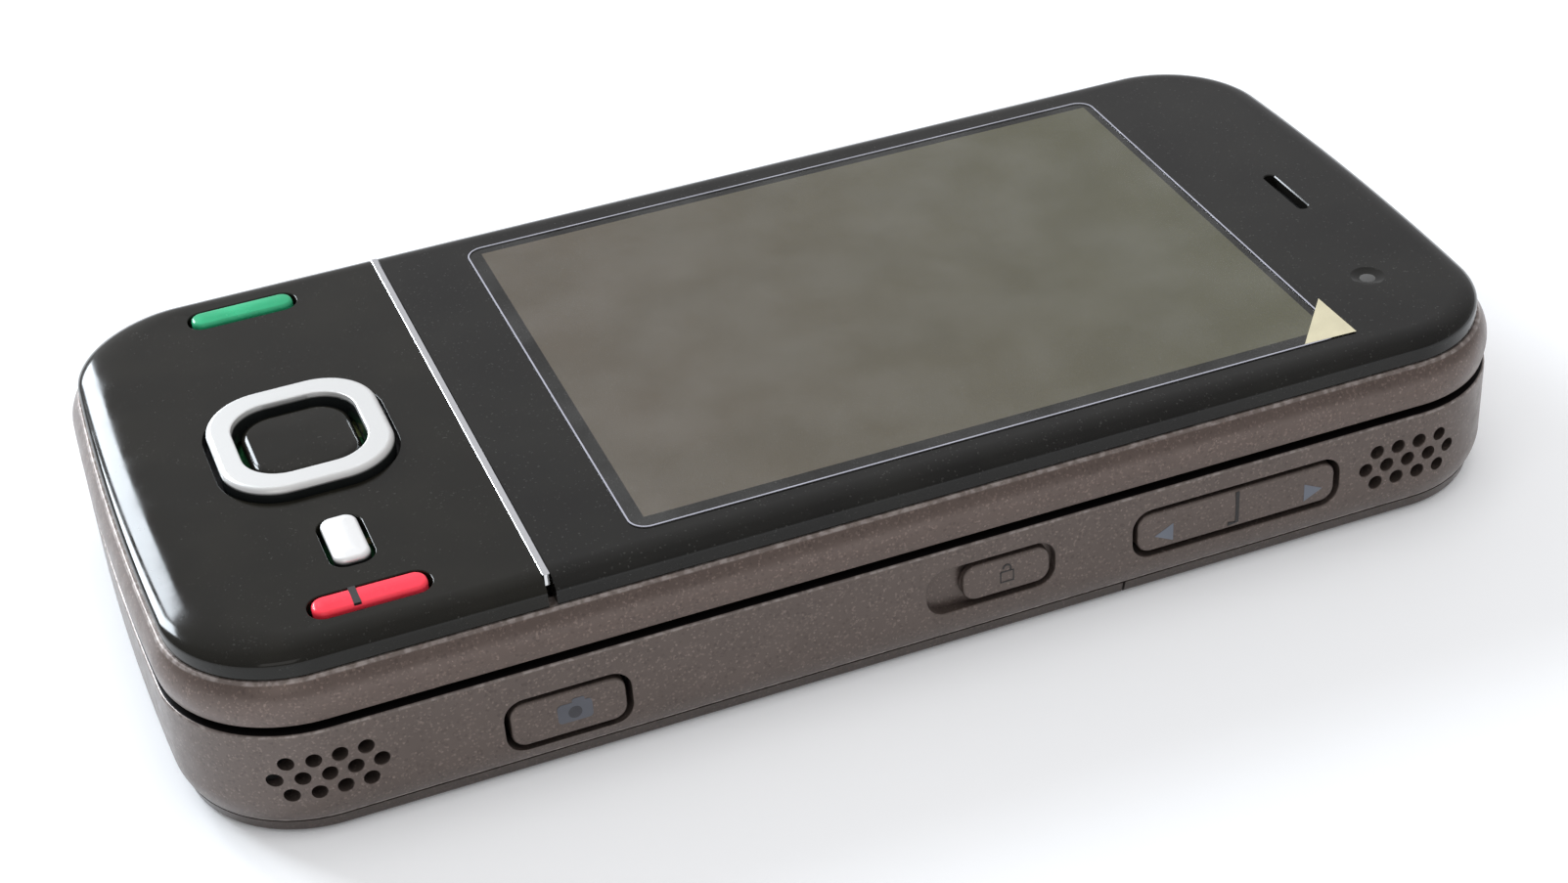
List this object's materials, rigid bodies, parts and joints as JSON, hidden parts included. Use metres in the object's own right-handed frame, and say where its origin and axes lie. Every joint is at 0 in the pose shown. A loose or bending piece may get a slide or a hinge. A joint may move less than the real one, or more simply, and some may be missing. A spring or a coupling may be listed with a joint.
{
  "type": "slider phone",
  "caption": "Two-way slider phone with a glossy black front, silver direction pad, painted lower half and a numeric keypad and music keys hidden until it slides.",
  "frame": {"origin": "under the middle of the back, on the surface the phone lies on", "axes": "+X the phone's right side with the camera, lock and volume keys; +Y towards the earpiece end; +Z out of the screen"},
  "size_m": [0.05, 0.103, 0.016],
  "materials": {
    "brown_paint": "metallic satin paint",
    "deck_black": "gloss",
    "key_black": "gloss",
    "piano_black": "high gloss",
    "silver": "satin",
    "chrome_trim": "bright",
    "green_key": "gloss",
    "red_key": "gloss",
    "display_grey": "matt glass",
    "clear_film": "clear film",
    "board_green": "solder mask",
    "dome_film": "film",
    "battery_grey": "label-free wrap",
    "inner_plastic": "moulded",
    "steel": "brushed",
    "nylon": "moulded",
    "lens_glass": "coated",
    "socket_black": "moulded",
    "cover_metal": "satin"
  },
  "bodies": {
    "lower_half": {"lower_housing": "brown_paint", "rear_panel": "brown_paint", "keypad_deck": "deck_black", "dome_sheet": "dome_film", "main_board": "board_green", "battery_frame": "inner_plastic", "rail_plate": "steel", "rail_glides": "nylon", "camera_module": "inner_plastic", "camera_lens": "lens_glass", "loudspeakers": "inner_plastic", "vibration_motor": "steel", "headphone_jack": "socket_black", "usb_socket": "steel", "sim_holder": "inner_plastic", "card_socket": "steel", "side_switches": "inner_plastic", "casing_screws": "steel"},
    "slider": {"upper_frame": "brown_paint", "key_panel": "piano_black", "window_panel": "piano_black", "divider_strip": "chrome_trim", "display_module": "display_grey", "slider_track": "steel", "track_screws": "steel", "detent_springs": "steel", "upper_board": "board_green", "earpiece": "inner_plastic", "front_camera": "inner_plastic", "screen_film": "clear_film"},
    "direction_rocker": {"navi_rocker": "inner_plastic"},
    "direction_ring": {"navi_ring": "silver"},
    "select": {"select_key": "piano_black"},
    "multimedia": {"multimedia_key": "silver"},
    "call": {"call_key": "green_key"},
    "end": {"end_key": "red_key"},
    "camera_shutter": {"camera_key": "brown_paint"},
    "lock": {"lock_slider": "brown_paint"},
    "volume": {"volume_rocker": "brown_paint"},
    "power": {"power_key": "brown_paint"},
    "card_door": {"memory_card_door": "brown_paint"},
    "cover": {"back_cover": "brown_paint"},
    "battery_pack": {"battery": "battery_grey"},
    "lens_shutter": {"lens_cover": "cover_metal"},
    "key_1_body": {"key_1": "key_black"},
    "key_2_body": {"key_2": "key_black"},
    "key_3_body": {"key_3": "key_black"},
    "key_4_body": {"key_4": "key_black"},
    "key_5_body": {"key_5": "key_black"},
    "key_6_body": {"key_6": "key_black"},
    "key_7_body": {"key_7": "key_black"},
    "key_8_body": {"key_8": "key_black"},
    "key_9_body": {"key_9": "key_black"},
    "key_star_body": {"key_star": "key_black"},
    "key_0_body": {"key_0": "key_black"},
    "key_hash_body": {"key_hash": "key_black"},
    "media_key_rewind_body": {"media_key_rewind": "key_black"},
    "media_key_play_body": {"media_key_play": "key_black"},
    "media_key_stop_body": {"media_key_stop": "key_black"},
    "media_key_forward_body": {"media_key_forward": "key_black"}
  },
  "joints": [
    {"name": "slide_open", "type": "slide", "parent": "lower_half", "child": "slider", "axis": [0, 1, 0], "range_m": [-0.015, 0.033]},
    {"name": "direction_up_down", "type": "hinge", "parent": "slider", "child": "direction_rocker", "pos_m": [0, -0.0365, 0.01365], "axis": [1, 0, 0], "range_deg": [-2, 2], "stiffness_Nm_per_rad": 0.3},
    {"name": "direction_left_right", "type": "hinge", "parent": "direction_rocker", "child": "direction_ring", "pos_m": [0, -0.0365, 0.01365], "axis": [0, 1, 0], "range_deg": [-2, 2], "stiffness_Nm_per_rad": 0.3},
    {"name": "select_press", "type": "slide", "parent": "slider", "child": "select", "axis": [0, 0, -1], "range_m": [0, 0.0003], "stiffness_N_per_m": 2000},
    {"name": "multimedia_press", "type": "slide", "parent": "slider", "child": "multimedia", "axis": [0, 0, -1], "range_m": [0, 0.0003], "stiffness_N_per_m": 2000},
    {"name": "call_press", "type": "slide", "parent": "slider", "child": "call", "axis": [0, 0, -1], "range_m": [0, 0.0003], "stiffness_N_per_m": 2000},
    {"name": "end_press", "type": "slide", "parent": "slider", "child": "end", "axis": [0, 0, -1], "range_m": [0, 0.0003], "stiffness_N_per_m": 2000},
    {"name": "camera_press", "type": "slide", "parent": "lower_half", "child": "camera_shutter", "axis": [-1, 0, 0], "range_m": [0, 0.0005], "stiffness_N_per_m": 2000},
    {"name": "lock_slide", "type": "slide", "parent": "lower_half", "child": "lock", "axis": [0, -1, 0], "range_m": [0, 0.0024], "stiffness_N_per_m": 300},
    {"name": "volume_rock", "type": "hinge", "parent": "lower_half", "child": "volume", "pos_m": [0.023, 0.026, 0.0054], "axis": [0, 0, 1], "range_deg": [-2, 2], "stiffness_Nm_per_rad": 0.4},
    {"name": "power_press", "type": "slide", "parent": "lower_half", "child": "power", "axis": [0, -1, 0], "range_m": [0, 0.0003], "stiffness_N_per_m": 2000},
    {"name": "card_door_open", "type": "hinge", "parent": "lower_half", "child": "card_door", "pos_m": [-0.0245, 0.0204, 0.0046], "axis": [0, 0, 1], "range_deg": [0, 95]},
    {"name": "cover_lift", "type": "slide", "parent": "lower_half", "child": "cover", "axis": [0, 0, -1], "range_m": [0, 0.012]},
    {"name": "battery_lift", "type": "slide", "parent": "lower_half", "child": "battery_pack", "axis": [0, 0, -1], "range_m": [0, 0.006]},
    {"name": "lens_cover_slide", "type": "slide", "parent": "lower_half", "child": "lens_shutter", "axis": [1, 0, 0], "range_m": [0, 0.0115]},
    {"name": "key_1_press", "type": "slide", "parent": "lower_half", "child": "key_1_body", "axis": [0, 0, -1], "range_m": [0, 0.00025], "stiffness_N_per_m": 2000},
    {"name": "key_2_press", "type": "slide", "parent": "lower_half", "child": "key_2_body", "axis": [0, 0, -1], "range_m": [0, 0.00025], "stiffness_N_per_m": 2000},
    {"name": "key_3_press", "type": "slide", "parent": "lower_half", "child": "key_3_body", "axis": [0, 0, -1], "range_m": [0, 0.00025], "stiffness_N_per_m": 2000},
    {"name": "key_4_press", "type": "slide", "parent": "lower_half", "child": "key_4_body", "axis": [0, 0, -1], "range_m": [0, 0.00025], "stiffness_N_per_m": 2000},
    {"name": "key_5_press", "type": "slide", "parent": "lower_half", "child": "key_5_body", "axis": [0, 0, -1], "range_m": [0, 0.00025], "stiffness_N_per_m": 2000},
    {"name": "key_6_press", "type": "slide", "parent": "lower_half", "child": "key_6_body", "axis": [0, 0, -1], "range_m": [0, 0.00025], "stiffness_N_per_m": 2000},
    {"name": "key_7_press", "type": "slide", "parent": "lower_half", "child": "key_7_body", "axis": [0, 0, -1], "range_m": [0, 0.00025], "stiffness_N_per_m": 2000},
    {"name": "key_8_press", "type": "slide", "parent": "lower_half", "child": "key_8_body", "axis": [0, 0, -1], "range_m": [0, 0.00025], "stiffness_N_per_m": 2000},
    {"name": "key_9_press", "type": "slide", "parent": "lower_half", "child": "key_9_body", "axis": [0, 0, -1], "range_m": [0, 0.00025], "stiffness_N_per_m": 2000},
    {"name": "key_star_press", "type": "slide", "parent": "lower_half", "child": "key_star_body", "axis": [0, 0, -1], "range_m": [0, 0.00025], "stiffness_N_per_m": 2000},
    {"name": "key_0_press", "type": "slide", "parent": "lower_half", "child": "key_0_body", "axis": [0, 0, -1], "range_m": [0, 0.00025], "stiffness_N_per_m": 2000},
    {"name": "key_hash_press", "type": "slide", "parent": "lower_half", "child": "key_hash_body", "axis": [0, 0, -1], "range_m": [0, 0.00025], "stiffness_N_per_m": 2000},
    {"name": "media_key_rewind_press", "type": "slide", "parent": "lower_half", "child": "media_key_rewind_body", "axis": [0, 0, -1], "range_m": [0, 0.00025], "stiffness_N_per_m": 2000},
    {"name": "media_key_play_press", "type": "slide", "parent": "lower_half", "child": "media_key_play_body", "axis": [0, 0, -1], "range_m": [0, 0.00025], "stiffness_N_per_m": 2000},
    {"name": "media_key_stop_press", "type": "slide", "parent": "lower_half", "child": "media_key_stop_body", "axis": [0, 0, -1], "range_m": [0, 0.00025], "stiffness_N_per_m": 2000},
    {"name": "media_key_forward_press", "type": "slide", "parent": "lower_half", "child": "media_key_forward_body", "axis": [0, 0, -1], "range_m": [0, 0.00025], "stiffness_N_per_m": 2000}
  ],
  "couplings": [
    {"joint": "battery_lift", "follows": "cover_lift", "ratio": 0.5}
  ]
}
